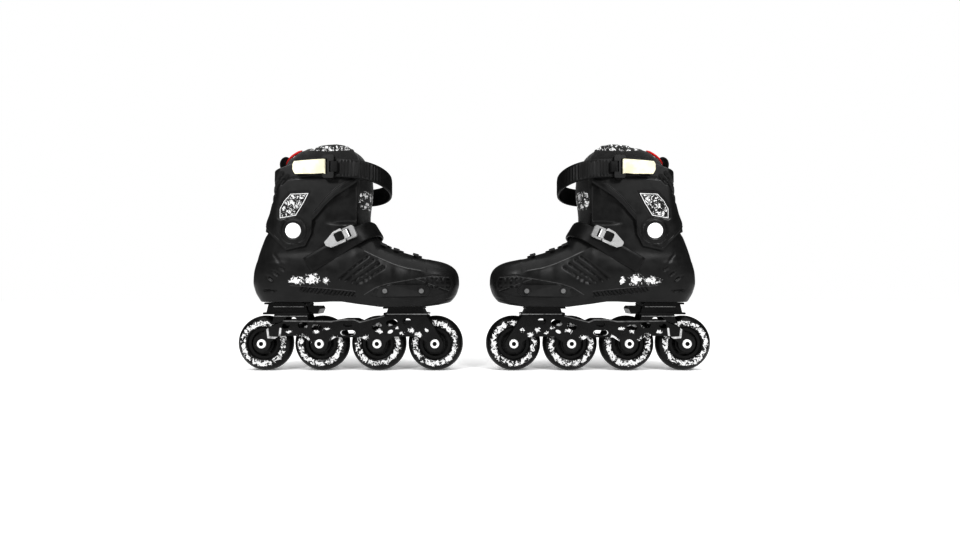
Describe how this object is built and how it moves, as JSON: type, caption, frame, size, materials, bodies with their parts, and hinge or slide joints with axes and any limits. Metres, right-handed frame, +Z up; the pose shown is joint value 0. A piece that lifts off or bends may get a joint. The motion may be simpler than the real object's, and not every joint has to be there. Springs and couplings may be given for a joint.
{
  "type": "inline skates",
  "caption": "Pair of freestyle inline skates: hinged-cuff hard boots with ladder and instep straps, metal frames and urethane wheels.",
  "frame": {"origin": "on the floor, in the middle of the outline of the pair as it stands on its wheels", "axes": "+X from the right-foot skate to the left-foot skate, +Z up, and the buckles of both skates face -Y"},
  "size_m": [0.675, 0.1042, 0.3273],
  "materials": {
    "shell_black": "satin moulded shell plastic",
    "cuff_black": "satin moulded cuff plastic",
    "liner_fabric": "padded black fabric with a pale abstract print",
    "strap_black": "flexible ribbed strap plastic",
    "buckle_dark": "dark grey buckle plastic",
    "buckle_grey": "grey buckle plastic",
    "lever_cream": "glossy cream plastic",
    "lever_silver": "satin die-cast metal",
    "pivot_white": "white cap",
    "slider_black": "hard slider plastic",
    "frame_black": "glossy black anodised aluminium with white marks",
    "steel": "bright zinc-plated steel",
    "tyre_black": "black urethane with a white splatter print",
    "hub_black": "black moulded hub"
  },
  "bodies": {
    "right_boot": {"right_boot_shell": "shell_black", "right_liner": "liner_fabric", "right_tongue": "liner_fabric", "right_frame": "frame_black", "right_frame_bolts": "steel", "right_axles": "steel", "right_cuff_pivots": "pivot_white", "right_instep_strap": "strap_black", "right_instep_buckle_base": "buckle_grey", "right_lace_hooks": "buckle_dark", "right_side_sliders": "slider_black"},
    "right_cuff": {"right_cuff": "cuff_black", "right_cuff_strap": "strap_black", "right_cuff_buckle_base": "buckle_dark"},
    "right_cuff_lever": {"right_cuff_buckle_lever": "lever_cream"},
    "right_cuff_latch": {"right_cuff_buckle_latch": "buckle_dark"},
    "right_instep_lever": {"right_instep_buckle_lever": "lever_silver"},
    "right_instep_release": {"right_instep_release": "buckle_dark"},
    "right_wheel_1": {"right_tyre_1": "tyre_black", "right_hub_1": "hub_black", "right_bearings_1": "steel"},
    "right_wheel_2": {"right_tyre_2": "tyre_black", "right_hub_2": "hub_black", "right_bearings_2": "steel"},
    "right_wheel_3": {"right_tyre_3": "tyre_black", "right_hub_3": "hub_black", "right_bearings_3": "steel"},
    "right_wheel_4": {"right_tyre_4": "tyre_black", "right_hub_4": "hub_black", "right_bearings_4": "steel"},
    "left_boot": {"left_boot_shell": "shell_black", "left_liner": "liner_fabric", "left_tongue": "liner_fabric", "left_frame": "frame_black", "left_frame_bolts": "steel", "left_axles": "steel", "left_cuff_pivots": "pivot_white", "left_instep_strap": "strap_black", "left_instep_buckle_base": "buckle_grey", "left_lace_hooks": "buckle_dark", "left_side_sliders": "slider_black"},
    "left_cuff": {"left_cuff": "cuff_black", "left_cuff_strap": "strap_black", "left_cuff_buckle_base": "buckle_dark"},
    "left_cuff_lever": {"left_cuff_buckle_lever": "lever_cream"},
    "left_cuff_latch": {"left_cuff_buckle_latch": "buckle_dark"},
    "left_instep_lever": {"left_instep_buckle_lever": "lever_silver"},
    "left_instep_release": {"left_instep_release": "buckle_dark"},
    "left_wheel_1": {"left_tyre_1": "tyre_black", "left_hub_1": "hub_black", "left_bearings_1": "steel"},
    "left_wheel_2": {"left_tyre_2": "tyre_black", "left_hub_2": "hub_black", "left_bearings_2": "steel"},
    "left_wheel_3": {"left_tyre_3": "tyre_black", "left_hub_3": "hub_black", "left_bearings_3": "steel"},
    "left_wheel_4": {"left_tyre_4": "tyre_black", "left_hub_4": "hub_black", "left_bearings_4": "steel"}
  },
  "joints": [
    {"name": "right_cuff_lean", "type": "hinge", "parent": "right_boot", "child": "right_cuff", "pos_m": [-0.2456, 0.00149, 0.195], "axis": [0, 1, 0], "range_deg": [-3, 10], "stiffness_Nm_per_rad": 25, "deforming": ["right_liner", "right_tongue"]},
    {"name": "right_cuff_lever_open", "type": "hinge", "parent": "right_cuff", "child": "right_cuff_lever", "pos_m": [-0.2015, -0.04911, 0.28], "axis": [0, 0, 1], "range_deg": [0, 75]},
    {"name": "right_cuff_latch_press", "type": "hinge", "parent": "right_cuff", "child": "right_cuff_latch", "pos_m": [-0.1914, -0.04911, 0.28], "axis": [0, 0, -1], "range_deg": [0, 12], "stiffness_Nm_per_rad": 0.3},
    {"name": "right_instep_lever_open", "type": "hinge", "parent": "right_boot", "child": "right_instep_lever", "pos_m": [-0.17045, -0.04711, 0.19047], "axis": [-0.4067, 0, 0.9135], "range_deg": [0, 60]},
    {"name": "right_instep_release_press", "type": "slide", "parent": "right_instep_lever", "child": "right_instep_release", "axis": [0, 1, 0], "range_m": [0, 0.0015], "stiffness_N_per_m": 400},
    {"name": "right_wheel_1_spin", "type": "hinge", "parent": "right_boot", "child": "right_wheel_1", "pos_m": [-0.0555, 0.00149, 0.039], "axis": [0, 1, 0], "continuous": true},
    {"name": "right_wheel_2_spin", "type": "hinge", "parent": "right_boot", "child": "right_wheel_2", "pos_m": [-0.1365, 0.00149, 0.039], "axis": [0, 1, 0], "continuous": true},
    {"name": "right_wheel_3_spin", "type": "hinge", "parent": "right_boot", "child": "right_wheel_3", "pos_m": [-0.2175, 0.00149, 0.039], "axis": [0, 1, 0], "continuous": true},
    {"name": "right_wheel_4_spin", "type": "hinge", "parent": "right_boot", "child": "right_wheel_4", "pos_m": [-0.2985, 0.00149, 0.039], "axis": [0, 1, 0], "continuous": true},
    {"name": "left_cuff_lean", "type": "hinge", "parent": "left_boot", "child": "left_cuff", "pos_m": [0.2456, 0.00149, 0.195], "axis": [0, -1, 0], "range_deg": [-3, 10], "stiffness_Nm_per_rad": 25, "deforming": ["left_liner", "left_tongue"]},
    {"name": "left_cuff_lever_open", "type": "hinge", "parent": "left_cuff", "child": "left_cuff_lever", "pos_m": [0.2015, -0.04911, 0.28], "axis": [0, 0, -1], "range_deg": [0, 75]},
    {"name": "left_cuff_latch_press", "type": "hinge", "parent": "left_cuff", "child": "left_cuff_latch", "pos_m": [0.1914, -0.04911, 0.28], "axis": [0, 0, 1], "range_deg": [0, 12], "stiffness_Nm_per_rad": 0.3},
    {"name": "left_instep_lever_open", "type": "hinge", "parent": "left_boot", "child": "left_instep_lever", "pos_m": [0.17045, -0.04711, 0.19047], "axis": [-0.4067, 0, -0.9135], "range_deg": [0, 60]},
    {"name": "left_instep_release_press", "type": "slide", "parent": "left_instep_lever", "child": "left_instep_release", "axis": [0, 1, 0], "range_m": [0, 0.0015], "stiffness_N_per_m": 400},
    {"name": "left_wheel_1_spin", "type": "hinge", "parent": "left_boot", "child": "left_wheel_1", "pos_m": [0.0555, 0.00149, 0.039], "axis": [0, -1, 0], "continuous": true},
    {"name": "left_wheel_2_spin", "type": "hinge", "parent": "left_boot", "child": "left_wheel_2", "pos_m": [0.1365, 0.00149, 0.039], "axis": [0, -1, 0], "continuous": true},
    {"name": "left_wheel_3_spin", "type": "hinge", "parent": "left_boot", "child": "left_wheel_3", "pos_m": [0.2175, 0.00149, 0.039], "axis": [0, -1, 0], "continuous": true},
    {"name": "left_wheel_4_spin", "type": "hinge", "parent": "left_boot", "child": "left_wheel_4", "pos_m": [0.2985, 0.00149, 0.039], "axis": [0, -1, 0], "continuous": true},
    {"name": "left_skate_lift", "type": "slide", "parent": "right_boot", "child": "left_boot", "axis": [0, 0, 1], "range_m": [0, 0.3]}
  ]
}
